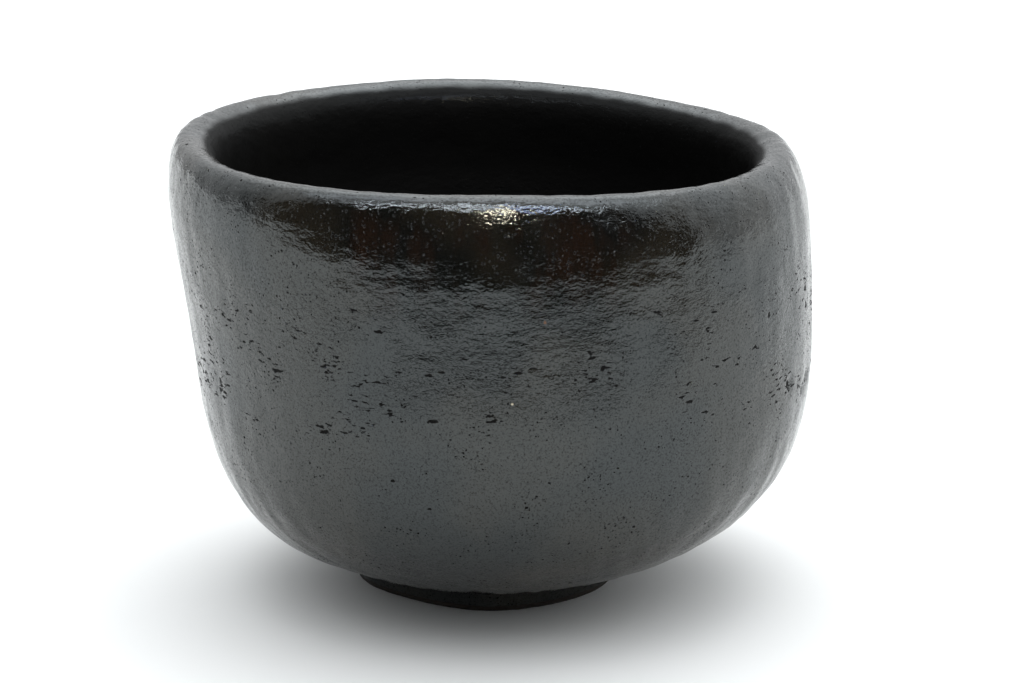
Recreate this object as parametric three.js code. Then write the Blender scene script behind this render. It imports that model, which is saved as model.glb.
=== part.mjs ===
// A hand-formed raku tea bowl: a thick clay wall on a low carved foot, under a coat of black glaze.
//
// The frame is in millimetres with +Z up. The origin is on the table under the middle of the bowl, and
// the front of the bowl faces -Y. Every piece is turned about Z from its own profile, and is then pressed
// out of round by one function of space, so pieces that meet on the wheel still meet afterwards.
import * as THREE from "three";

// Driving dimensions. Radii and heights are those of the finished surface, with the glaze on.
const HEIGHT = 84.3; // table to the crest of the lip
const SHOULDER_RADIUS = 58.8; // the wall at its widest, just under the lip
const LIP_DROP = 12.8; // crest of the lip down to the shoulder
const LIP_INSET = 4.1; // the crest stands this far inside the shoulder
const LIP_WIDTH = 5.2; // crest of the lip in to the narrowest ring of the mouth
const MOUTH_DROP = 4.4; // crest of the lip down to that ring
const HIP_HEIGHT = 35.9; // where the upright wall turns in towards the foot
const HIP_INSET = 1.9; // the hip stands this far inside the shoulder
const HIP_REACH = 22; // how far below the hip the wall keeps its slope
const WALL_SLOPE = 86; // degrees from level of the wall at the hip
const UNDERSIDE_SLOPE = 6.6; // degrees from level of the underside where it meets the foot
const UNDERSIDE_REACH = 12; // how far the underside keeps that slope before it turns up

const WALL = 6.2; // finished wall at the shoulder
const HIP_WALL = 8; // finished wall at the hip, where it is left thick
const INNER_SLOPE = 82; // degrees from level of the inside at the hip
const FLOOR = 6.6; // finished floor over the hollow of the foot
const FLOOR_SLOPE = 8; // degrees from level of the floor where it meets the pool
const POOL_RADIUS = 21; // the shallow pool in the floor, where the last of the tea gathers
const POOL_DEPTH = 1.1;

const FOOT_RADIUS = 24.5; // outside of the foot ring
const FOOT_HEIGHT = 4.8; // table to the underside, at the outside of the ring
const FOOT_WIDTH = 7.2; // across the ring
const FOOT_BEVEL = 0.8; // knife cut along both edges of the face that the bowl stands on
const WELL_CUT = 2.2; // the hollow inside the ring is cut this much deeper than the ring is high
const WELL_FILLET = 1; // radius where its roof meets the ring

const COAT = 0.7; // thickness of the glaze
const BARE_EDGE = 1.2; // the glaze stops this far above the table and leaves the clay bare
const GAP = 0.2; // clearance that keeps the facets of touching pieces out of each other

// How the hands left it, as changes to the turned shape.
const SWAY = [-1.2, 5.2, -0.2, -2.5]; // handles, from foot to crest, of the curve its axis takes in X
const OVAL = 0.039; // above the hip, front to back is smaller than side to side by this share
const LIP_TILT = 1.25; // the lip falls this far towards +X
const LIP_WAVES = [
  { count: 1, size: 0.44, turn: 90 },
  { count: 2, size: 0.38, turn: 180 },
  { count: 3, size: 0.25, turn: 98 },
  { count: 4, size: 0.32, turn: 0 },
]; // rises and dips along the crest
const MOUTH_LOBES = [
  { count: 3, size: 0.011, turn: 0 },
  { count: 4, size: 0.0058, turn: 0 },
]; // how far the mouth is out of round, as shares of its radius
const FOOT_LOBES = [
  { count: 3, size: 0.023, turn: 180 },
  { count: 5, size: 0.02, turn: 261 },
]; // the same for the foot, which is cut by eye

const SEGMENTS = 48; // facets round the axis
const LONG_STEPS = 6; // facets along a long stretch of a profile
const SHORT_STEPS = 4;
const TIGHT_STEPS = 2;

const CLAY_COLOUR = 0x3a332d;
const GLAZE_COLOUR = 0x0d0c0b;

const ROUND = 0.5523; // handle that makes a quarter circle, as a share of its radius
const radians = THREE.MathUtils.degToRad;
const smoothstep = THREE.MathUtils.smoothstep;
const point = (radius, height) => new THREE.Vector2(radius, height);

// Levels and radii that several pieces share.
const shoulderHeight = HEIGHT - LIP_DROP;
const hipRadius = SHOULDER_RADIUS - HIP_INSET;
const crestRadius = SHOULDER_RADIUS - LIP_INSET;
const mouth = point(crestRadius - LIP_WIDTH, HEIGHT - MOUTH_DROP);
const wellRadius = FOOT_RADIUS - FOOT_WIDTH;
const wellRoof = FOOT_HEIGHT + WELL_CUT;
const floorHeight = wellRoof + FLOOR;

// Points of a cubic curve that leaves its start along one heading and arrives along another, in degrees
// from level, with the length of each handle.
function sweep(start, heading, reach, end, arrival, arrivalReach, steps) {
  const handle = (degrees, length) =>
    point(Math.cos(radians(degrees)), Math.sin(radians(degrees))).multiplyScalar(length);
  const curve = new THREE.CubicBezierCurve(
    start,
    start.clone().add(handle(heading, reach)),
    end.clone().sub(handle(arrival, arrivalReach)),
    end,
  );
  return curve.getPoints(steps);
}

// Joins stretches of a profile, each of which starts where the last one ended.
function chain(...stretches) {
  return stretches.reduce((joined, next) => joined.concat(next.slice(1)));
}

// Moves a profile off the finished surface into the clay, which is always on its left. A point on the
// axis stays on it.
function setBack(profile, depth) {
  return profile.map((here, i) => {
    const before = profile[Math.max(i - 1, 0)];
    const after = profile[Math.min(i + 1, profile.length - 1)];
    const along = after.clone().sub(before).normalize();
    const radius = here.x === 0 ? 0 : here.x - along.y * depth;
    return point(radius, here.y + along.x * depth);
  });
}

// The finished surface from the root of the foot, out under the bowl, up the wall and over the lip.
function outsideProfile() {
  const root = point(FOOT_RADIUS, FOOT_HEIGHT);
  const hip = point(hipRadius, HIP_HEIGHT);
  const shoulder = point(SHOULDER_RADIUS, shoulderHeight);
  const crest = point(crestRadius, HEIGHT);
  const wallReach = (shoulderHeight - HIP_HEIGHT) / 4;
  return chain(
    sweep(root, UNDERSIDE_SLOPE, UNDERSIDE_REACH, hip, WALL_SLOPE, HIP_REACH, LONG_STEPS),
    sweep(hip, WALL_SLOPE, wallReach, shoulder, 90, wallReach, SHORT_STEPS),
    sweep(shoulder, 90, LIP_DROP * ROUND, crest, 180, LIP_INSET * ROUND, SHORT_STEPS),
    sweep(crest, 180, LIP_WIDTH * ROUND, mouth, 270, MOUTH_DROP * ROUND, TIGHT_STEPS),
  );
}

// The finished surface from the mouth down the inside and across the floor to the axis.
function insideProfile() {
  const shoulder = point(SHOULDER_RADIUS - WALL, shoulderHeight - MOUTH_DROP);
  const hip = point(hipRadius - HIP_WALL, HIP_HEIGHT);
  const poolEdge = point(POOL_RADIUS, floorHeight);
  const poolMiddle = point(0, floorHeight - POOL_DEPTH);
  const alongWall = INNER_SLOPE - 180;
  const alongFloor = FLOOR_SLOPE - 180;
  const shoulderReach = (mouth.y - shoulder.y) / 3;
  const wallReach = (shoulder.y - hip.y) / 3;
  const floorReach = (hip.y - floorHeight) / 2;
  return chain(
    sweep(mouth, -90, shoulderReach, shoulder, -90, shoulderReach, TIGHT_STEPS),
    sweep(shoulder, -90, wallReach, hip, alongWall, wallReach, SHORT_STEPS),
    sweep(hip, alongWall, floorReach, poolEdge, alongFloor, floorReach, LONG_STEPS),
    sweep(poolEdge, alongFloor, POOL_RADIUS / 3, poolMiddle, 180, POOL_RADIUS / 3, TIGHT_STEPS),
  );
}

// The surface of the hollow inside the foot ring, a depth into the clay from the finished one: from the
// axis, out along its roof, round the fillet and down the inner side of the ring to a height.
function wellProfile(depth, lowest) {
  const fillet = Math.min(WELL_FILLET, WELL_CUT / 2);
  const radius = wellRadius + depth;
  const roof = wellRoof + depth;
  const round = fillet + depth;
  const filletStart = point(radius - round, roof);
  const filletEnd = point(radius, roof - round);
  return chain(
    [point(0, roof), filletStart],
    sweep(filletStart, 0, round * ROUND, filletEnd, -90, round * ROUND, TIGHT_STEPS),
    [filletEnd, point(radius, lowest)],
  );
}

// Sums the waves of a list at an angle about the axis.
function wavesAt(angle, waves) {
  return waves.reduce((sum, { count, size, turn }) => sum + size * Math.cos(count * angle - radians(turn)), 0);
}

// Presses a place on the turned shape to where the hands left it. The foot and the floor stay level.
function pressed(place) {
  const radius = Math.hypot(place.x, place.y);
  const angle = Math.atan2(place.y, place.x);
  const up = THREE.MathUtils.clamp((place.z - FOOT_HEIGHT) / (HEIGHT - FOOT_HEIGHT), 0, 1);
  const overHip = Math.max(0, (place.z - HIP_HEIGHT) / (HEIGHT - HIP_HEIGHT)) ** 2;
  const footShare = 1 - smoothstep(place.z, FOOT_HEIGHT, HIP_HEIGHT / 2);
  const round = 1 + up * wavesAt(angle, MOUTH_LOBES) + footShare * wavesAt(angle, FOOT_LOBES);
  const sway = new THREE.CubicBezierCurve(...SWAY.map((x) => point(x, 0))).getPoint(up).x;
  const oval = 1 - OVAL * smoothstep(place.z, FOOT_HEIGHT, HIP_HEIGHT);
  const lift = wavesAt(angle, LIP_WAVES) - LIP_TILT * Math.cos(angle);
  return new THREE.Vector3(
    radius * round * Math.cos(angle) + sway,
    radius * round * Math.sin(angle) * oval,
    place.z + overHip * lift,
  );
}

// One piece: its closed profile turned about Z, and then pressed.
function piece(name, profile, material) {
  const geometry = new THREE.LatheGeometry(profile, SEGMENTS);
  geometry.rotateX(Math.PI / 2);
  const position = geometry.getAttribute("position");
  for (let i = 0; i < position.count; i++) {
    const place = pressed(new THREE.Vector3().fromBufferAttribute(position, i));
    position.setXYZ(i, place.x, place.y, place.z);
  }
  geometry.computeVertexNormals();
  const mesh = new THREE.Mesh(geometry, material);
  mesh.name = name;
  return mesh;
}

const clay = new THREE.MeshStandardMaterial({ color: CLAY_COLOUR, roughness: 0.9, metalness: 0 });
const glaze = new THREE.MeshStandardMaterial({ color: GLAZE_COLOUR, roughness: 0.25, metalness: 0 });

// The finished surface in one run, from the root of the foot over the lip to the middle of the floor.
const outside = outsideProfile();
const surface = chain(outside, insideProfile());
const atMouth = outside.length - 1;
const underCoat = setBack(surface, COAT);
const clayFace = setBack(surface, COAT + GAP);

// The pinched and scraped body, with the seat of the foot ring and the roof of its hollow.
function clayBody() {
  return piece("clay_body", [...wellProfile(COAT + GAP, clayFace[0].y), ...clayFace], clay);
}

// The ring of clay that the bowl stands on, under the seat left for it.
function footRing() {
  const inner = wellRadius + COAT + GAP;
  const outer = FOOT_RADIUS - COAT - GAP;
  const seat = clayFace[0].y - GAP;
  const section = [
    point(inner, seat),
    point(inner, FOOT_BEVEL),
    point(inner + FOOT_BEVEL, 0),
    point(outer - FOOT_BEVEL, 0),
    point(outer, FOOT_BEVEL),
    point(outer, seat),
  ];
  return piece("foot_ring", [...section, section[0]], clay);
}

// The coat on the outside, from just above the table up over the lip to the mouth.
function outerGlaze() {
  const front = [point(FOOT_RADIUS, BARE_EDGE), ...surface.slice(0, atMouth + 1)];
  const corner = point(FOOT_RADIUS - COAT, underCoat[0].y);
  const back = [point(corner.x, BARE_EDGE), corner, ...underCoat.slice(0, atMouth + 1)];
  return piece("outer_glaze", [...front, ...back.toReversed(), front[0]], glaze);
}

// The coat on the inside, from just under the edge of the outer one down to the pool in the floor.
function innerGlaze() {
  const lowered = ({ x, y }) => point(x, y - GAP);
  const front = [lowered(surface[atMouth]), ...surface.slice(atMouth + 1)];
  const back = [lowered(underCoat[atMouth]), ...underCoat.slice(atMouth + 1)];
  return piece("inner_glaze", [...back.toReversed(), ...front], glaze);
}

// The coat in the hollow of the foot, which the bare face of the ring parts from the one outside.
function wellGlaze() {
  const front = wellProfile(0, BARE_EDGE);
  const back = wellProfile(COAT, BARE_EDGE);
  return piece("well_glaze", [...front, ...back.toReversed()], glaze);
}

const bowl = new THREE.Group();
bowl.add(clayBody(), footRing(), outerGlaze(), innerGlaze(), wellGlaze());

export default bowl;
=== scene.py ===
"""A hand-formed black raku tea bowl on a white table, in a light tent that is open at the front."""

import math

import bmesh
import bpy
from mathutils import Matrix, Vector, noise
from mathutils.bvhtree import BVHTree


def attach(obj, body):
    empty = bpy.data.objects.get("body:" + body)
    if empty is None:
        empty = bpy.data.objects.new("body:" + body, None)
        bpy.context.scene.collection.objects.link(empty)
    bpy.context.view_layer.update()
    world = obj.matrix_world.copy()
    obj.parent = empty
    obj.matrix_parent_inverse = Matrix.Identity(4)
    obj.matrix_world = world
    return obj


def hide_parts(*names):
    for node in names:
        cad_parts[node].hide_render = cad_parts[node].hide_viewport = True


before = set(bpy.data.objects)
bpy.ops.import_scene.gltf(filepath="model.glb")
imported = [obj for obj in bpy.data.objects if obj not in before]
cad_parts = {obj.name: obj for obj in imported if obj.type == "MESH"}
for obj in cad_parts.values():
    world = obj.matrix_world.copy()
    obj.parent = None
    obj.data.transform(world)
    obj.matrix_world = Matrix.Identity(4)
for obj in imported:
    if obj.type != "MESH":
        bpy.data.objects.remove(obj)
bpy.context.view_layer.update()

MM = 0.001


# ================================================================ helpers

def linear(hex_colour):
    """The linear colour of an sRGB hex value."""
    shares = [int(hex_colour[i:i + 2], 16) / 255 for i in (1, 3, 5)]
    return [s / 12.92 if s <= 0.04045 else ((s + 0.055) / 1.055) ** 2.4 for s in shares] + [1.0]


def add_node(tree, kind, settings=None, inputs=None):
    """Adds a node. An input is given its value, or the output that feeds it."""
    node = tree.nodes.new("ShaderNode" + kind)
    for name, value in (settings or {}).items():
        setattr(node, name, value)
    for socket, value in (inputs or {}).items():
        if isinstance(value, bpy.types.NodeSocket):
            tree.links.new(value, node.inputs[socket])
        else:
            node.inputs[socket].default_value = value
    return node


def new_material(name):
    """An empty material and its node tree."""
    material = bpy.data.materials.new(name)
    material.use_nodes = True
    material.node_tree.nodes.clear()
    return material, material.node_tree


def show(obj):
    """Puts an object in the scene."""
    bpy.context.scene.collection.objects.link(obj)
    return obj


# ================================================================ the camera

EYE = Vector((3.36, -550.4, 196.3)) * MM
LOOKS_DOWN = math.radians(15.39)
LENS = 106.6
SENSOR = 36.0
NEAREST_SEEN = 0.01
FARTHEST_SEEN = 20


def make_camera():
    """Looks down on the bowl's front a little, from half a metre away."""
    data = bpy.data.cameras.new("camera")
    data.lens = LENS
    data.sensor_width = SENSOR
    data.clip_start = NEAREST_SEEN
    data.clip_end = FARTHEST_SEEN
    camera = show(bpy.data.objects.new("camera", data))
    camera.location = EYE
    camera.rotation_euler = (math.pi / 2 - LOOKS_DOWN, 0, 0)
    bpy.context.scene.camera = camera


# ================================================================ the coats of glaze

CLAY = ("clay_body", "foot_ring")
FRONT_DISTANCE = 0.6 * MM      # a coat's front lies 0.9 mm off the clay, so past this
BACK_DISTANCE = 0.35 * MM      # and its back 0.2 mm, so within this
LIP_SEAM = 0.35 * MM           # the outer and the inner coat part by less than this at the mouth
EVERYTHING = 1.0               # a distance past the whole bowl
SAME_PLACE = 0.001 * MM
PAIR_BEND = math.radians(60)   # two triangles of one face may bend by this much
PAIR_SKEW = math.radians(80)
FINE_LEVELS = 3
DRAWN_IN = 0.35                # rounding draws a sheet in by about this many millimetres
NORMAL = "melt_normal"
INWARD = "inward"              # how far a coat faces the bowl's axis, 0 to 1


def joined_copy(name):
    """A copy of a CAD node, merged, with its triangles joined back into four-sided faces."""
    bm = bmesh.new()
    bm.from_mesh(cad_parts[name].data)
    bmesh.ops.remove_doubles(bm, verts=bm.verts, dist=SAME_PLACE)
    bmesh.ops.join_triangles(
        bm, faces=bm.faces, cmp_seam=False, cmp_sharp=False, cmp_uvs=False, cmp_vcols=False,
        cmp_materials=False, angle_face_threshold=PAIR_BEND, angle_shape_threshold=PAIR_SKEW,
    )
    return bm


def clay_surface():
    """Tells how far a point is from the clay."""
    clay = bmesh.new()
    for name in CLAY:
        clay.from_mesh(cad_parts[name].data)
    tree = BVHTree.FromBMesh(clay)
    clay.free()
    return tree


def add_sheet(bm, sheet):
    """Adds a sheet's faces to another."""
    mesh = bpy.data.meshes.new("sheet")
    sheet.to_mesh(mesh)
    bm.from_mesh(mesh)
    bpy.data.meshes.remove(mesh)


def faces_between(name, clay, nearest, farthest):
    """A coat's faces that lie within these distances of the clay."""
    coat = joined_copy(name)
    depths = {face: clay.find_nearest(face.calc_center_median())[3] for face in coat.faces}
    unwanted = [face for face, depth in depths.items() if not nearest < depth < farthest]
    bmesh.ops.delete(coat, geom=unwanted, context="FACES")
    return coat


def subdivided(bm, levels):
    """The same sheet, rounded and made finer."""
    mesh = bpy.data.meshes.new("coarse")
    bm.to_mesh(mesh)
    obj = show(bpy.data.objects.new("coarse", mesh))
    modifier = obj.modifiers.new("round", "SUBSURF")
    modifier.levels = modifier.render_levels = levels
    fine = bmesh.new()
    fine.from_mesh(obj.evaluated_get(bpy.context.evaluated_depsgraph_get()).data)
    bpy.data.objects.remove(obj)
    bpy.data.meshes.remove(mesh)
    return fine


# Marks in the glaze, each as how far across and tall its waves are and how high they stand, in
# millimetres, and which lot of waves it takes.
PALM = (24, 17, 0.16, 0)
SCRAPER = (11, 4.5, 0.07, 0.04)
DRAG = (3.4, 17, 0.11, 0.06)
DIMPLE = (4.2, 3.4, 0.09, 0.01)
PEEL = (2.1, 2.1, 0.04, 0.02)
DRAG_AT_FRONT = 0.35           # the share of the drag marks that the front keeps
STROKE_LENGTH = 13             # the scraper's strokes round the hip
STROKE_WIDTH = 2.6
STROKE_HEIGHT = 0.24
HIP_TOP = 34
HIP_FADE = 12
DENT_REACH = 2.4               # the hollow round a gouge
DENT_DEPTH = 0.9


def waves(place, across, tall, height, lot=0):
    """Smooth waves this many millimetres across and tall, which stand out by up to this height."""
    return height * noise.noise(Vector((place.x / across + lot, place.y / across, place.z / tall)) / MM)


def clamped(value):
    """A value kept between 0 and 1."""
    return max(0.0, min(1.0, value))


def strokes(place, to_side, to_front):
    """The scraper's strokes, which run from the axis outward over the hip."""
    long, wide = STROKE_LENGTH, STROKE_WIDTH
    at_side = noise.noise(Vector((place.x / long, place.y / wide, place.z / long)) / MM)
    at_front = noise.noise(Vector((place.x / wide, place.y / long, place.z / long)) / MM)
    hip = clamped((HIP_TOP * MM - place.z) / (HIP_FADE * MM))
    return STROKE_HEIGHT * hip * (at_side * to_side + at_front * to_front)


def dents(place):
    """The hollows round the deepest gouges."""
    ways = [(place - Vector(gouge[:3]) * MM).length / (DENT_REACH * MM) for gouge in DENTED_GOUGES]
    return DENT_DEPTH * sum(max(0.0, 1 - way) ** 2 for way in ways)


def relief(place):
    """How far the glaze stands out at a place: the marks of palms, scraper and melt."""
    reach = math.hypot(place.x, place.y) + MM
    to_side, to_front = (place.x / reach) ** 2, (place.y / reach) ** 2
    tool = waves(place, *PALM) + waves(place, *SCRAPER) + strokes(place, to_side, to_front)
    drag = (DRAG_AT_FRONT + to_side) * waves(place, *DRAG)
    skin = waves(place, *DIMPLE) + waves(place, *PEEL)
    return (DRAWN_IN - dents(place) + tool + drag + skin) * MM


def melted(sheet):
    """Pushes a fine sheet in and out, and keeps its normals for the pieces that are cut from it."""
    sheet.normal_update()
    places = [vert.co + vert.normal * relief(vert.co) for vert in sheet.verts]
    for vert, place in zip(sheet.verts, places):
        vert.co = place
    sheet.normal_update()
    layer = sheet.verts.layers.float_vector.new(NORMAL)
    inward = sheet.verts.layers.float.new(INWARD)
    for vert in sheet.verts:
        vert[layer] = vert.normal
        to_axis = Vector((-vert.co.x, -vert.co.y, 0)).normalized()
        vert[inward] = max(0.0, vert.normal.dot(to_axis))


def open_loops(bm):
    """The open borders, each as its list of edges, from the lowest to the highest."""
    left = {edge for edge in bm.edges if edge.is_boundary}
    loops = []
    while left:
        loop = [left.pop()]
        for edge in loop:
            found = {other for vert in edge.verts for other in vert.link_edges} & left
            loop.extend(found)
            left -= found
        loops.append(loop)

    def height(loop):
        return sum(vert.co.z for edge in loop for vert in edge.verts) / len(loop)

    return sorted(loops, key=height)


def close_coat(front, back):
    """Joins a coat's fine front to its coarse back along their borders, which close the shell."""
    add_sheet(front, back)
    loops = open_loops(front)
    for first, second in zip(loops[::2], loops[1::2]):
        for edge in first + second:
            edge.smooth = False
        bmesh.ops.bridge_loops(front, edges=first + second)


def set_normals(mesh):
    """Gives the fine side the normals that it had before it was cut, and leaves the rest as it is."""
    layer = mesh.attributes[NORMAL]
    normals = [Vector(value.vector) for value in layer.data]
    corners = [Vector((0, 0, 0)) for _ in mesh.loops]
    for polygon in mesh.polygons:
        ends = [mesh.loops[corner].vertex_index for corner in polygon.loop_indices]
        if all(normals[end].length > 0 for end in ends):
            for corner, end in zip(polygon.loop_indices, ends):
                corners[corner] = normals[end]
    mesh.attributes.remove(layer)
    mesh.normals_split_custom_set(corners)


def piece_from(bm, name, material):
    """Makes the finished object, which stands for the CAD node of its name."""
    for face in bm.faces:
        face.smooth = True
        face.material_index = 0
    mesh = bpy.data.meshes.new(name + "_piece")
    bm.to_mesh(mesh)
    bm.free()
    if NORMAL in mesh.attributes:
        set_normals(mesh)
    mesh.materials.append(material)
    piece = show(bpy.data.objects.new(name + "_piece", mesh))
    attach(piece, "root")
    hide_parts(name)


def make_coats(clay, glazes):
    """The outer and the inner coat are melted as one sheet over the lip, then parted at the mouth."""
    names = ("outer_glaze", "inner_glaze")
    sheet = bmesh.new()
    for index, name in enumerate(names):
        front = faces_between(name, clay, FRONT_DISTANCE, EVERYTHING)
        for face in front.faces:
            face.material_index = index
        add_sheet(sheet, front)
    borders = [vert for vert in sheet.verts if vert.is_boundary]
    bmesh.ops.remove_doubles(sheet, verts=borders, dist=LIP_SEAM)
    sheet = subdivided(sheet, FINE_LEVELS)
    melted(sheet)
    for index, name in enumerate(names):
        coat = sheet.copy()
        others = [face for face in coat.faces if face.material_index != index]
        bmesh.ops.delete(coat, geom=others, context="FACES")
        close_coat(coat, faces_between(name, clay, 0, BACK_DISTANCE))
        piece_from(coat, name, glazes[index])


def make_well_coat(clay, glaze):
    """The coat in the hollow of the foot."""
    front = faces_between("well_glaze", clay, FRONT_DISTANCE, EVERYTHING)
    sheet = subdivided(front, FINE_LEVELS - 1)
    melted(sheet)
    close_coat(sheet, faces_between("well_glaze", clay, 0, BACK_DISTANCE))
    piece_from(sheet, "well_glaze", glaze)


KNIFE_EDGE = math.radians(25)   # a sharper bend than this is an edge that the knife left
EDGE_CREASE = 0.55
COARSE_GRAIN = (3, 3, 0.08)
FINE_GRAIN = (1.2, 1.2, 0.05)
OUTER_FACE = 21                 # the ring's outside lies past this radius
BARE_TOP = 1.4                  # the glaze ends here, so the bare clay is pushed out flush with it
BARE_FADE = 0.6
FLUSH = 0.75
SPREAD = 0.6                    # and a little more at the table, where the foot was set down wet
SPREAD_TOP = 0.8


def make_foot_ring(clay_material):
    """The foot, its knife-cut edges just rounded, with the open grain of the clay."""
    ring = joined_copy("foot_ring")
    crease = ring.edges.layers.float.new("crease_edge")
    for edge in ring.edges:
        edge[crease] = EDGE_CREASE if edge.calc_face_angle(0) > KNIFE_EDGE else 0
    ring = subdivided(ring, FINE_LEVELS)
    ring.normal_update()
    middle = sum((vert.co for vert in ring.verts), Vector()) / len(ring.verts)
    for vert in ring.verts:
        grain = waves(vert.co, *COARSE_GRAIN) + waves(vert.co, *FINE_GRAIN)
        out = Vector((vert.co.x - middle.x, vert.co.y - middle.y, 0))
        push = 0
        if out.length > OUTER_FACE * MM:
            bare = clamped((BARE_TOP * MM - vert.co.z) / (BARE_FADE * MM))
            push = bare * (FLUSH + SPREAD * max(0.0, 1 - vert.co.z / (SPREAD_TOP * MM)))
        vert.co += out.normalized() * push * MM + vert.normal * grain * MM
        vert.co.z = max(vert.co.z, 0)
    piece_from(ring, "foot_ring", clay_material)


# ================================================================ the finishes

Y, Z = 1, 2                            # the axes that between() takes
MIX_A, MIX_B, MIX_OUT = 6, 7, 2        # a Mix node's colour sockets
COLOURS = {"data_type": "RGBA"}
BOTH = {"operation": "MULTIPLY"}       # where both masks are
EITHER = {"operation": "MAXIMUM"}      # where either mask is
SCALED_ONTO = {"operation": "MULTIPLY_ADD"}
SOFTLY = {"interpolation_type": "SMOOTHSTEP"}


def in_millimetres(tree):
    """The place on the piece, in millimetres."""
    place = add_node(tree, "TexCoord").outputs["Object"]
    return add_node(tree, "Mapping", {}, {"Vector": place, "Scale": (1000, 1000, 1000)}).outputs["Vector"]


HOLE_WOBBLE = (0.9, 0.9, 0.5)          # how far the grid of cells is bent, in millimetres
WOBBLE_WAVES = 0.9                     # and how many bends there are in a millimetre
GRID_TILT = (0.05, 0.03, 0)
HOLE_EDGE = 0.16                       # the share of a hole's width over which it fades


def holes(tree, place, across, tall, share, spread, clusters):
    """A mask of pits where bubbles broke in the melt. They sit in a loose grid of cells this many
    millimetres across and tall. Share is the part of the cells that have one, spread is how far
    it may fill its cell, and clusters is a mask of where they gather."""
    wobble = add_node(tree, "TexNoise", {}, {"Vector": place, "Scale": WOBBLE_WAVES, "Detail": 1.0})
    shift = add_node(
        tree, "VectorMath", SCALED_ONTO, {0: wobble.outputs["Color"], 1: HOLE_WOBBLE, 2: place}
    )
    cells = add_node(
        tree, "Mapping", {},
        {"Vector": shift.outputs[0], "Scale": (1 / across, 1 / across, 1 / tall), "Rotation": GRID_TILT},
    )
    cell = add_node(tree, "TexVoronoi", {}, {"Vector": cells.outputs[0], "Scale": 1.0})
    draw = add_node(tree, "SeparateColor", {}, {0: cell.outputs["Color"]}).outputs[0]
    size = add_node(
        tree, "MapRange", {},
        {"Value": draw, "From Min": 1 - share, "From Max": 1.0, "To Min": 0.0, "To Max": spread},
    ).outputs[0]
    size = add_node(tree, "Math", BOTH, {0: size, 1: clusters}).outputs[0]
    inside = add_node(tree, "Math", {"operation": "SUBTRACT"}, {0: size, 1: cell.outputs["Distance"]})
    return add_node(
        tree, "MapRange", SOFTLY,
        {"Value": inside.outputs[0], "From Min": 0.0, "From Max": HOLE_EDGE * spread},
    ).outputs[0]


def patches(tree, place, size, low, high):
    """A mask of soft patches this many millimetres across. Low and high set how much they cover."""
    soft = add_node(tree, "TexNoise", {}, {"Vector": place, "Scale": 1 / size, "Detail": 2.0})
    return add_node(
        tree, "MapRange", SOFTLY, {"Value": soft.outputs["Fac"], "From Min": low, "From Max": high}
    ).outputs[0]


def between(tree, place, axis, low, high, soft):
    """A mask that is 1 between two places along an axis, and fades out over soft millimetres."""
    along = add_node(tree, "SeparateXYZ", {}, {0: place}).outputs[axis]
    rises = add_node(
        tree, "MapRange", SOFTLY, {"Value": along, "From Min": low - soft, "From Max": low + soft}
    ).outputs[0]
    falls = add_node(
        tree, "MapRange", SOFTLY,
        {"Value": along, "From Min": high - soft, "From Max": high + soft, "To Min": 1.0, "To Max": 0.0},
    ).outputs[0]
    return add_node(tree, "Math", BOTH, {0: rises, 1: falls}).outputs[0]


TEAR_WAVES = (0.55, 0.55, 1.5)         # waves to a millimetre, so a tear is longer than it is tall
TEAR_NONE = 0.85                       # the noise has to pass this outside the clusters
TEAR_MOST = 0.575                      # and this in their middle
TEAR_EDGE = 0.035


def drawn_pits(tree, place, clusters):
    """A mask of pits that the scraper drew out sideways, torn and uneven, 1 to 3 mm long."""
    cells = add_node(tree, "Mapping", {}, {"Vector": place, "Scale": TEAR_WAVES}).outputs[0]
    torn = add_node(
        tree, "TexNoise", {}, {"Vector": cells, "Scale": 1.0, "Detail": 2.0, "Roughness": 0.55}
    ).outputs["Fac"]
    edge = add_node(
        tree, "MapRange", {}, {"Value": clusters, "To Min": TEAR_NONE, "To Max": TEAR_MOST}
    ).outputs[0]
    inside = add_node(tree, "Math", {"operation": "SUBTRACT"}, {0: torn, 1: edge}).outputs[0]
    return add_node(tree, "MapRange", SOFTLY, {"Value": inside, "From Max": TEAR_EDGE}).outputs[0]


SPOT_CORE = 0.5                        # the part of a spot that is whole, before it fades


def spots(tree, place, squeeze, marks):
    """A mask of single spots, each given as its x, y, z and its half width in millimetres. Squeeze
    flattens them along an axis by so many times."""
    squeezed = add_node(tree, "Mapping", {}, {"Vector": place, "Scale": squeeze}).outputs[0]
    mask = None
    for x, y, z, half in marks:
        centre = (x * squeeze[0], y * squeeze[1], z * squeeze[2])
        away = add_node(tree, "VectorMath", {"operation": "DISTANCE"}, {0: squeezed, 1: centre})
        spot = add_node(
            tree, "MapRange", SOFTLY,
            {"Value": away.outputs["Value"], "From Min": half, "From Max": SPOT_CORE * half},
        ).outputs[0]
        mask = spot if mask is None else add_node(tree, "Math", EITHER, {0: mask, 1: spot}).outputs[0]
    return mask


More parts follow.
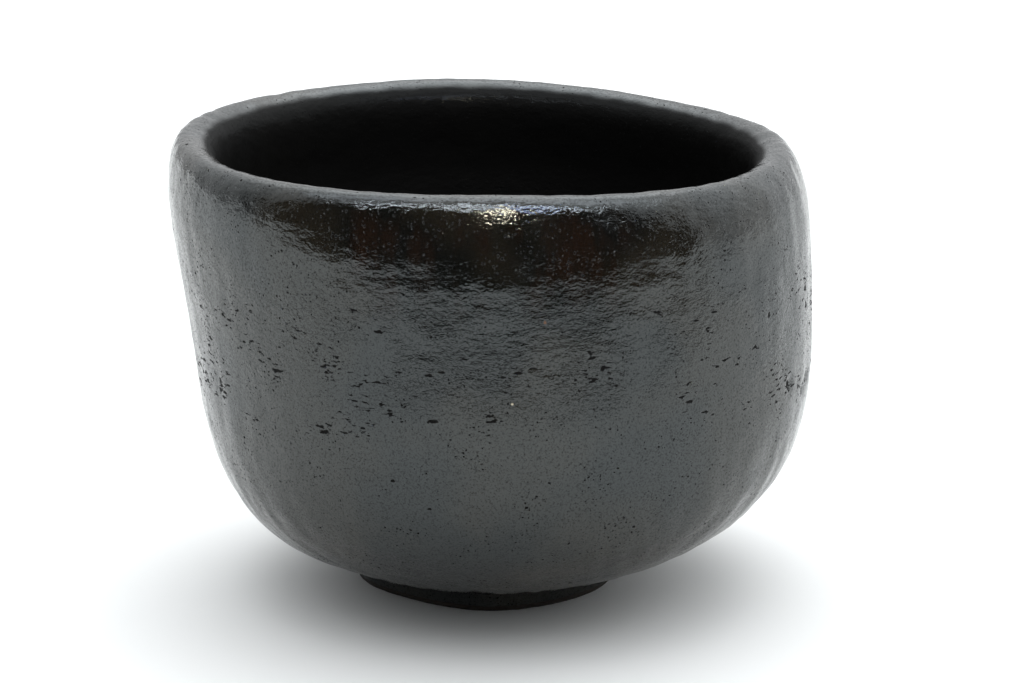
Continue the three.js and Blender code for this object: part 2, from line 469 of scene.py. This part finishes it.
# Single marks on the outside, each as x, y, z and half width in millimetres.
DASHES = (
    (-9.8, -54.8, 46.0, 1.3), (-10.6, -55.3, 54.3, 1.1), (-15.7, -54.1, 54.5, 0.9), (-8.2, -55.4, 54.9, 0.8),
    (-13.3, -54.8, 53.6, 0.7), (4.7, -56.0, 54.9, 1.0), (7.4, -55.9, 55.6, 1.1), (2.2, -56.0, 54.2, 0.6),
    (15.1, -54.5, 57.2, 0.8), (20.4, -52.8, 58.1, 0.7), (-4.4, -56.0, 57.4, 0.8), (34.6, -44.9, 46.6, 1.0),
)
GOUGES = (
    (49.1, -30.4, 58.4, 0.9), (53.7, -23.5, 43.4, 1.3), (56.8, -15.9, 40.6, 1.6), (57.5, -13.2, 41.8, 1.1),
    (55.6, -19.2, 42.0, 0.8),
)
DENTED_GOUGES = GOUGES[1:4]
RUST = (
    (-11.0, -55.9, 63.2, 0.5), (9.3, -55.6, 63.7, 0.5), (0.3, -56.6, 62.4, 0.4),
    (29.4, -49.8, 61.2, 0.45),
)
GRIT = ((3.4, -55.8, 49.1, 0.3), (13.7, -38.8, 10.3, 0.35))
ROUND = (1, 1, 1)                      # how many times a spot is squeezed along each axis
LYING = (1, 1, 2.8)
STANDING = (1.8, 1.8, 1)

# Holes, each as how far across and tall their cells are in millimetres, the share of cells that
# have one, and how far it may fill its cell.
PINHOLES = (0.65, 0.6, 0.75, 0.4)
BUBBLES = (3.0, 2.2, 0.25, 0.16)
BLISTERS = (0.62, 0.8, 0.45, 0.36)
IRON_SPECKS = (9, 9, 0.3, 0.05)

# Patches, each as its size in millimetres and the two values that set how much it covers.
PINHOLED = (7, 0.3, 0.65)
BUBBLED = (11, 0.42, 0.6)
SCRAPED = (10, 0.36, 0.62)
TORN = (14, 0.3, 0.6)
RED_RUNS = (4, 0.42, 0.66)
WARM = (26, 0.42, 0.6)
DULLED = (6, 0.35, 0.7)

# Parts of the bowl, each as its lowest and highest place and how far it fades out, in millimetres.
SCRAPED_WALL = (36, 67, 7)
TORN_WALL = (46, 67, 5)
LIP = (76, 95, 6)
NEAR_LIP = (66, 95, 5)
RED_LIP = (66, 82, 6)
RED_FRONT = (-90, -50, 4)
# painted shade: the part of the inside that is made duller and darker
INSIDE_SHADE_DEPTH = (-5, 73, 6)

# Heights in the skin of the glaze, in millimetres, on the wall and on the lip.
GRAIN_HEIGHT = (0.03, 0.05)
PEEL_HEIGHT = (0.085, 0.15)
TORN_HEIGHT = (0.03, 0.18)             # off and on the torn part of the wall
BLISTER_HEIGHT = 0.11
PIT_DEPTH = 0.1

# Waves of the skin, each as how many there are to a millimetre, their detail and their roughness.
SAND_GRAINS = (2.0, 2.0, 0.6)
ORANGE_PEEL = (0.75, 2.0, 0.5)
TEARS = (1.0, 3.0, 0.7)
PEEL_STRETCH = (0.6, 0.6, 1.0)         # peel and tears lie along the wall
TEAR_STRETCH = (0.7, 0.7, 1.2)
RUN_STRETCH = (1.0, 1.0, 0.2)          # and the red runs hang down from the lip
JOSTLE = (0.7, 0.7, 0.5)               # how far a mark's edge is moved, in millimetres
JOSTLE_WAVES = 1.6                     # and how many times in a millimetre

GLAZE_IOR = 1.64                       # an iron-rich lead glaze, a little over window glass
GLAZE_ROUGHNESS = (0.065, 0.15)
SAND_WAVES = 2.8                       # grains of the fine sand to a millimetre
SANDY = (0.44, 0.76, 0.62)             # where it starts and is thickest, and how much it dulls there
INNER_LIP = (0.4, 0.72, 0.95)          # the same for how far the coat faces the bowl's axis, as painted shade on the lip's inner face
INSIDE_SHADE_SHARE = 0.6                           # the share of the shine taken away inside the bowl, as painted shade


def jostled(tree, place):
    """The place, moved unevenly by a fraction of a millimetre, so that what is put there looks torn."""
    uneven = add_node(
        tree, "TexNoise", {}, {"Vector": place, "Scale": JOSTLE_WAVES, "Detail": 2.0, "Roughness": 0.6}
    ).outputs["Color"]
    return add_node(tree, "VectorMath", SCALED_ONTO, {0: uneven, 1: JOSTLE, 2: place}).outputs[0]


def burst_bubbles(tree, place, uneven):
    """A mask of pinholes all over, in clusters, of pits that the scraper drew out sideways on the
    wall, and of the largest single marks."""
    wall = between(tree, place, Z, *SCRAPED_WALL)
    scraped = add_node(tree, "Math", BOTH, {0: wall, 1: patches(tree, place, *SCRAPED)}).outputs[0]
    pitted = holes(tree, place, *PINHOLES, patches(tree, place, *PINHOLED))
    for pits in (
        drawn_pits(tree, uneven, scraped),
        holes(tree, uneven, *BUBBLES, patches(tree, place, *BUBBLED)),
        spots(tree, uneven, LYING, DASHES),
        spots(tree, uneven, STANDING, GOUGES),
    ):
        pitted = add_node(tree, "Math", EITHER, {0: pitted, 1: pits}).outputs[0]
    return pitted


def glaze_skin(tree, place, uneven, pitted):
    """The height of the skin in millimetres: orange peel 1 to 2 mm wide, a fine sandy grain, tears
    under the lip, beads and blisters near it, and the pits."""
    on_lip = between(tree, place, Z, *LIP)
    flat = add_node(tree, "Mapping", {}, {"Vector": place, "Scale": PEEL_STRETCH}).outputs[0]
    dragged = add_node(tree, "Mapping", {}, {"Vector": uneven, "Scale": TEAR_STRETCH}).outputs[0]
    torn_wall = add_node(
        tree, "Math", BOTH, {0: between(tree, place, Z, *TORN_WALL), 1: patches(tree, place, *TORN)}
    ).outputs[0]
    height = add_node(tree, "Math", BOTH, {0: pitted, 1: -PIT_DEPTH}).outputs[0]
    for where, (waves_to_mm, detail, roughness), part, (off_part, on_part) in (
        (place, SAND_GRAINS, on_lip, GRAIN_HEIGHT),
        (flat, ORANGE_PEEL, on_lip, PEEL_HEIGHT),
        (dragged, TEARS, torn_wall, TORN_HEIGHT),
    ):
        bumps = add_node(
            tree, "TexNoise", {},
            {"Vector": where, "Scale": waves_to_mm, "Detail": detail, "Roughness": roughness},
        ).outputs["Fac"]
        deep = add_node(
            tree, "MapRange", {}, {"Value": part, "To Min": off_part, "To Max": on_part}
        ).outputs[0]
        height = add_node(tree, "Math", SCALED_ONTO, {0: bumps, 1: deep, 2: height}).outputs[0]
    blisters = holes(tree, place, *BLISTERS, between(tree, place, Z, *NEAR_LIP))
    return add_node(tree, "Math", SCALED_ONTO, {0: blisters, 1: BLISTER_HEIGHT, 2: height}).outputs[0]


def glaze_colour(tree, place, uneven):
    """Black to olive-black, broken to iron red in runs where the melt was thin over the lip, with
    rust-brown specks of iron and a few pale grains of quartz grit."""
    runs = add_node(tree, "Mapping", {}, {"Vector": place, "Scale": RUN_STRETCH}).outputs[0]
    red = patches(tree, runs, *RED_RUNS)
    for part in (between(tree, place, Z, *RED_LIP), between(tree, place, Y, *RED_FRONT)):
        red = add_node(tree, "Math", BOTH, {0: red, 1: part}).outputs[0]
    specks = holes(tree, uneven, *IRON_SPECKS, between(tree, place, Z, *SCRAPED_WALL))
    iron = add_node(tree, "Math", EITHER, {0: spots(tree, uneven, ROUND, RUST), 1: specks}).outputs[0]
    colour = add_node(
        tree, "Mix", COLOURS,
        {0: patches(tree, place, *WARM), MIX_A: linear("#121210"), MIX_B: linear("#231f18")},
    ).outputs[MIX_OUT]
    for part, tint in (
        (red, "#21160f"),
        (iron, "#6b4a33"),
        (spots(tree, place, ROUND, GRIT), "#b9ad93"),
    ):
        colour = add_node(
            tree, "Mix", COLOURS, {0: part, MIX_A: colour, MIX_B: linear(tint)}
        ).outputs[MIX_OUT]
    return colour


def dull_and_shaded_glaze(tree, place, pitted, inside):
    """A mask of where a duller, darker glaze is put: on the fine sand, where it is only dullness; in the
    pits, where it is partly the hole's own dullness and partly painted shade; and on the lip's inner face
    and the inside of the bowl, where it is painted shade.
    """
    sand = add_node(
        tree, "TexNoise", {}, {"Vector": place, "Scale": SAND_WAVES, "Detail": 2.0, "Roughness": 0.7}
    ).outputs["Fac"]
    # painted shade: the more the coat faces the bowl's axis, the duller and darker it is made
    facing_in = add_node(tree, "Attribute", {"attribute_name": INWARD}).outputs["Fac"]
    # the pits are made duller and darker: partly the hole's own dullness, partly painted shade
    dry = pitted
    for value, (starts, ends, most) in ((sand, SANDY), (facing_in, INNER_LIP)):
        part = add_node(
            tree, "MapRange", SOFTLY,
            {"Value": value, "From Min": starts, "From Max": ends, "To Max": most},
        ).outputs[0]
        dry = add_node(tree, "Math", EITHER, {0: dry, 1: part}).outputs[0]
    # painted shade inside the bowl: the glaze is made duller and darker up to near the lip
    if inside:
        inside_shade = between(tree, place, Z, *INSIDE_SHADE_DEPTH)
        inside_shade = add_node(tree, "Math", BOTH, {0: inside_shade, 1: INSIDE_SHADE_SHARE}).outputs[0]
        dry = add_node(tree, "Math", EITHER, {0: dry, 1: inside_shade}).outputs[0]
    return dry


def black_raku_glaze(name, inside=False):
    """Black raku glaze over iron-bearing clay, fired hot and pulled from the kiln with tongs. It
    gives a deep wet black with an orange-peel skin, pinholes, and drawn-out pits on the wall."""
    material, tree = new_material(name)
    place = in_millimetres(tree)
    uneven = jostled(tree, place)
    pitted = burst_bubbles(tree, place, uneven)
    height = glaze_skin(tree, place, uneven, pitted)
    bump = add_node(tree, "Bump", {}, {"Strength": 1.0, "Distance": MM, "Height": height}).outputs[0]
    smooth, dull = GLAZE_ROUGHNESS
    roughness = add_node(
        tree, "MapRange", {}, {"Value": patches(tree, place, *DULLED), "To Min": smooth, "To Max": dull}
    ).outputs[0]
    melt = add_node(
        tree, "BsdfPrincipled", {},
        {
            "Base Color": glaze_colour(tree, place, uneven), "Roughness": roughness, "IOR": GLAZE_IOR,
            "Specular Tint": linear("#f4fdff"), "Normal": bump,
        },
    )
    # a duller, darker glaze: painted shade inside the bowl and on the lip's inner face, partly painted shade
    # in the pits, only dullness on the sand
    dry = add_node(
        tree, "BsdfPrincipled", {},
        {"Base Color": linear("#0a0a09"), "Roughness": 0.7, "Specular IOR Level": 0.1, "Normal": bump},
    )
    surface = add_node(
        tree, "MixShader", {},
        {0: dull_and_shaded_glaze(tree, place, pitted, inside), 1: melt.outputs[0], 2: dry.outputs[0]},
    )
    add_node(tree, "OutputMaterial", {}, {"Surface": surface.outputs[0]})
    return material


CLAY_GRAINS = 2.2                      # to a millimetre
CLAY_GRAIN_HEIGHT = 0.25 * MM


def dark_raku_clay():
    """Coarse dark raku clay, knife-trimmed and left bare. It gives a dry sandy black-brown, with
    grains about half a millimetre wide."""
    material, tree = new_material("Dark raku clay, knife-trimmed")
    place = in_millimetres(tree)
    grain = add_node(
        tree, "TexNoise", {}, {"Vector": place, "Scale": CLAY_GRAINS, "Detail": 5.0, "Roughness": 0.7}
    ).outputs["Fac"]
    colour = add_node(
        tree, "Mix", COLOURS, {0: grain, MIX_A: linear("#1d1916"), MIX_B: linear("#3d352e")}
    ).outputs[MIX_OUT]
    bump = add_node(
        tree, "Bump", {}, {"Strength": 1.0, "Distance": CLAY_GRAIN_HEIGHT, "Height": grain}
    ).outputs[0]
    clay = add_node(
        tree, "BsdfPrincipled", {},
        {"Base Color": colour, "Roughness": 0.85, "IOR": 1.5, "Normal": bump},
    )
    add_node(tree, "OutputMaterial", {}, {"Surface": clay.outputs[0]})
    return material


def white_table():
    """Matt white laminate, which gives a plain white with a faint even sheen."""
    material, tree = new_material("Matt white laminate")
    paint = add_node(
        tree, "BsdfPrincipled", {},
        {"Base Color": linear("#f9faf9"), "Roughness": 0.9, "Specular IOR Level": 0.2},
    )
    add_node(tree, "OutputMaterial", {}, {"Surface": paint.outputs[0]})
    return material


def black_cloth():
    """Black cloth. It gives back almost nothing."""
    material, tree = new_material("Black cloth")
    cloth = add_node(
        tree, "BsdfPrincipled", {},
        {"Base Color": linear("#050505"), "Roughness": 1.0, "Specular IOR Level": 0.0},
    )
    add_node(tree, "OutputMaterial", {}, {"Surface": cloth.outputs[0]})
    return material


# ================================================================ the table and the light

TABLE_REACH = 9.0
TABLE_SIDES = 64
TENT_FRONT = -0.268             # the tent ends here, before the bowl
OPENING_HEIGHT = 0.315
OPENING = ((-1.8, -0.17), (-0.28, -0.232), (0.0, TENT_FRONT), (0.28, -0.285), (1.6, -0.32))

# The tent's cloth. A way is where one looks from the bowl, and the cosines say how far off it is.
BRIGHTEST_WAY = (0, 0.5, 0.866)
BRIGHTEST_COSINES = (-0.3, 1.0)
CLOTH = (0.33, 1.6)             # how bright it is at those two
ROOF_LAMP_WAY = (0, 0.42, 0.908)
ROOF_LAMP_COSINES = (0.8, 0.97)
ROOF_LAMP = 1.5
FRONT_TO_MIDDLE = (0.4, 1.0)    # what is left of the light beside the camera, and over the bowl
LOW_BACK = (0.6, 1.0)           # how far back the light starts to fall off, and where it ends
MIDDLE_TO_BACK = (1.0, 0.6)     # what is left of the light at those two
LEFT_TO_RIGHT = (0.82, 1.45)

# Small lamps, each as its name, place, the place it lights, size, watts and colour.
BOWL = (0, 0, 0.06)
LAMPS = (
    ("front_strip", (0, -0.264, 0.352), BOWL, (0.6, 0.008), 0.8, "#f4f8ff"),
    ("small_lamp", (0.045, -0.262, 0.236), BOWL, (0.02, 0.009), 0.2, "#fff2d6"),
    ("over_lip", (0, -0.1, 0.4), (0, -0.1, 0), (0.7, 0.13), 0.5, "#f4f8ff"),
    ("cool_strip", (0.11, -0.262, 0.316), BOWL, (0.14, 0.006), 0.1, "#9db6ff"),
)


def make_table():
    """A white table that runs past everything the camera sees."""
    bm = bmesh.new()
    bmesh.ops.create_circle(bm, cap_ends=True, segments=TABLE_SIDES, radius=TABLE_REACH)
    mesh = bpy.data.meshes.new("table")
    bm.to_mesh(mesh)
    bm.free()
    mesh.materials.append(white_table())
    show(bpy.data.objects.new("table", mesh))


def make_dark_opening():
    """The dark room in the tent's open front, seen only where the glaze reflects it."""
    bm = bmesh.new()
    corners = [bm.verts.new((x, y, 0)) for x, y in OPENING]
    sill = [bm.edges.new(ends) for ends in zip(corners, corners[1:])]
    raised = bmesh.ops.extrude_edge_only(bm, edges=sill)["geom"]
    head = [item for item in raised if isinstance(item, bmesh.types.BMVert)]
    bmesh.ops.translate(bm, verts=head, vec=(0, 0, OPENING_HEIGHT))
    mesh = bpy.data.meshes.new("dark_opening")
    bm.to_mesh(mesh)
    bm.free()
    mesh.materials.append(black_cloth())
    opening = show(bpy.data.objects.new("dark_opening", mesh))
    opening.visible_camera = False
    opening.visible_diffuse = False
    opening.visible_shadow = False


def add_lamp(name, place, target, size, watts, colour):
    """A soft lamp that shows only in the glaze."""
    data = bpy.data.lights.new(name, "AREA")
    data.shape = "RECTANGLE"
    data.size, data.size_y = size
    data.energy = watts
    data.color = linear(colour)[:3]
    lamp = show(bpy.data.objects.new(name, data))
    lamp.location = place
    lamp.rotation_euler = (Vector(target) - Vector(place)).to_track_quat("-Z", "Y").to_euler()
    lamp.visible_camera = False
    lamp.visible_diffuse = False


def make_tent():
    """White cloth all round, brightest overhead and behind the bowl, and dim beside the camera,
    which sees it plain white."""
    world = bpy.data.worlds.new("tent")
    bpy.context.scene.world = world
    world.use_nodes = True
    tree = world.node_tree
    tree.nodes.clear()
    way = add_node(tree, "TexCoord").outputs["Generated"]
    to_right, to_back, _ = add_node(tree, "SeparateXYZ", {}, {0: way}).outputs
    over = add_node(
        tree, "VectorMath", {"operation": "DOT_PRODUCT"}, {0: way, 1: BRIGHTEST_WAY}
    ).outputs["Value"]
    roof = add_node(
        tree, "VectorMath", {"operation": "DOT_PRODUCT"}, {0: way, 1: ROOF_LAMP_WAY}
    ).outputs["Value"]
    parts = []
    for value, settings, (starts, ends), (least, most) in (
        (over, SOFTLY, BRIGHTEST_COSINES, CLOTH),
        (roof, SOFTLY, ROOF_LAMP_COSINES, (0.0, ROOF_LAMP)),
        (to_back, {}, (-1.0, 0.0), FRONT_TO_MIDDLE),
        (to_back, {}, LOW_BACK, MIDDLE_TO_BACK),
        (to_right, {}, (-1.0, 1.0), LEFT_TO_RIGHT),
    ):
        parts.append(add_node(
            tree, "MapRange", settings,
            {"Value": value, "From Min": starts, "From Max": ends, "To Min": least, "To Max": most},
        ).outputs[0])
    strength = add_node(tree, "Math", {"operation": "ADD"}, {0: parts[0], 1: parts[1]}).outputs[0]
    for part in parts[2:]:
        strength = add_node(tree, "Math", BOTH, {0: strength, 1: part}).outputs[0]
    lit = add_node(tree, "Background", {}, {"Color": linear("#fbfdff"), "Strength": strength}).outputs[0]
    seen = add_node(tree, "Background", {}, {"Color": linear("#ffffff"), "Strength": 1.0}).outputs[0]
    straight = add_node(tree, "LightPath").outputs["Is Camera Ray"]
    both = add_node(tree, "MixShader", {}, {0: straight, 1: lit, 2: seen})
    add_node(tree, "OutputWorld", {}, {"Surface": both.outputs[0]})


def make_light():
    """The tent and its lamps, shown as they are, with no film look laid over them."""
    make_tent()
    for lamp in LAMPS:
        add_lamp(*lamp)
    bpy.context.scene.view_settings.view_transform = "Standard"


# ================================================================ the scene

make_camera()
make_table()
make_dark_opening()
make_light()
glaze = black_raku_glaze("Black raku glaze, tong-pulled")
# the inside takes painted shade: its glaze is made duller and darker
inner_glaze = black_raku_glaze("Black raku glaze, painted shade inside", inside=True)
clay_finish = dark_raku_clay()
clay = clay_surface()
make_coats(clay, (glaze, inner_glaze))
make_well_coat(clay, glaze)
make_foot_ring(clay_finish)
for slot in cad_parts["clay_body"].material_slots:
    slot.material = clay_finish
